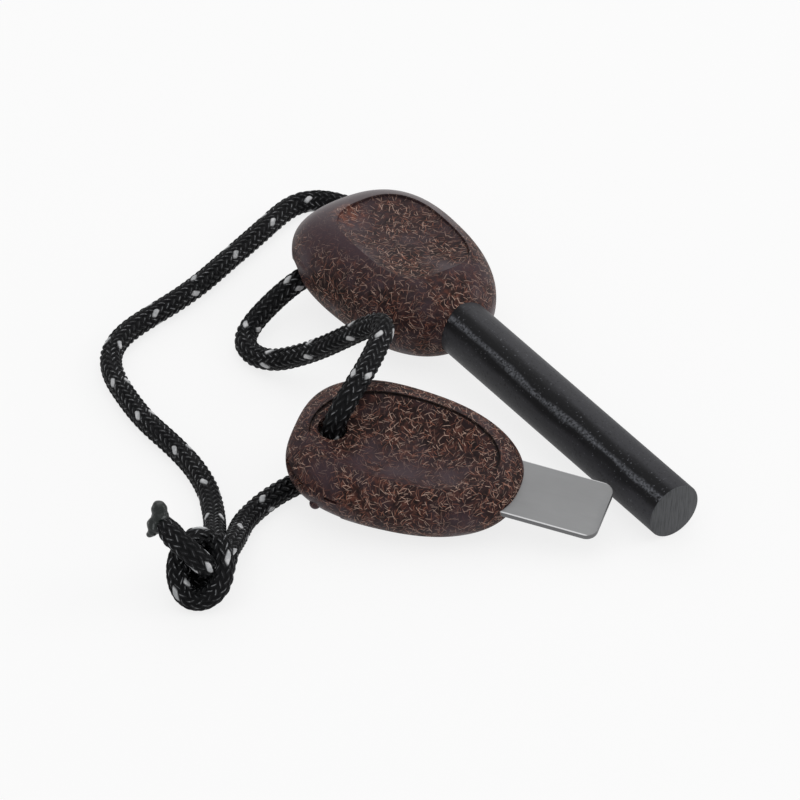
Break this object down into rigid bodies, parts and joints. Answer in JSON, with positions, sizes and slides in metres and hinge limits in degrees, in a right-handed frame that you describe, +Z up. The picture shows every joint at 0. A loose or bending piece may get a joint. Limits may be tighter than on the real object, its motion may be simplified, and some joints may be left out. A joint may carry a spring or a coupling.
{
  "type": "ferro rod fire starter",
  "caption": "Fire-starting rod in a pebble-shaped handle, with a steel scraper in a second pebble that has a whistle in its butt, both tied together by a knotted reflective cord.",
  "frame": {"origin": "on the standing surface, under the middle of the box round the rigid pieces", "axes": "+Z up; +X along the rod as seen from above, from its handle to its free end; +Y from the scraper to the rod"},
  "size_m": [0.1178, 0.097, 0.0233],
  "materials": {
    "rod_composite": "satin wood-fibre composite",
    "striker_composite": "satin wood-fibre composite",
    "ferrocerium": "satin ground alloy",
    "blade_steel": "satin",
    "cord_braid": "woven"
  },
  "bodies": {
    "rod_and_handle": {"rod_handle": "rod_composite", "ferro_rod": "ferrocerium"},
    "cord": {"cord_long_run": "cord_braid", "cord_front_loop": "cord_braid", "cord_knot_leg": "cord_braid", "cord_knot": "cord_braid", "cord_tail": "cord_braid"},
    "striker": {"striker_handle": "striker_composite", "striker_blade": "blade_steel", "whistle_insert": "striker_composite"}
  },
  "joints": [
    {"name": "striker_stroke", "type": "slide", "parent": "rod_and_handle", "child": "cord", "axis": [1, 0, 0], "range_m": [-0.014, 0.022], "deforming": ["cord_long_run", "cord_front_loop"]},
    {"name": "striker_swivel", "type": "hinge", "parent": "cord", "child": "striker", "pos_m": [0.0047, -0.0207, 0], "axis": [0, 0, 1], "range_deg": [-20, 1.5], "deforming": ["cord_knot_leg"]}
  ]
}
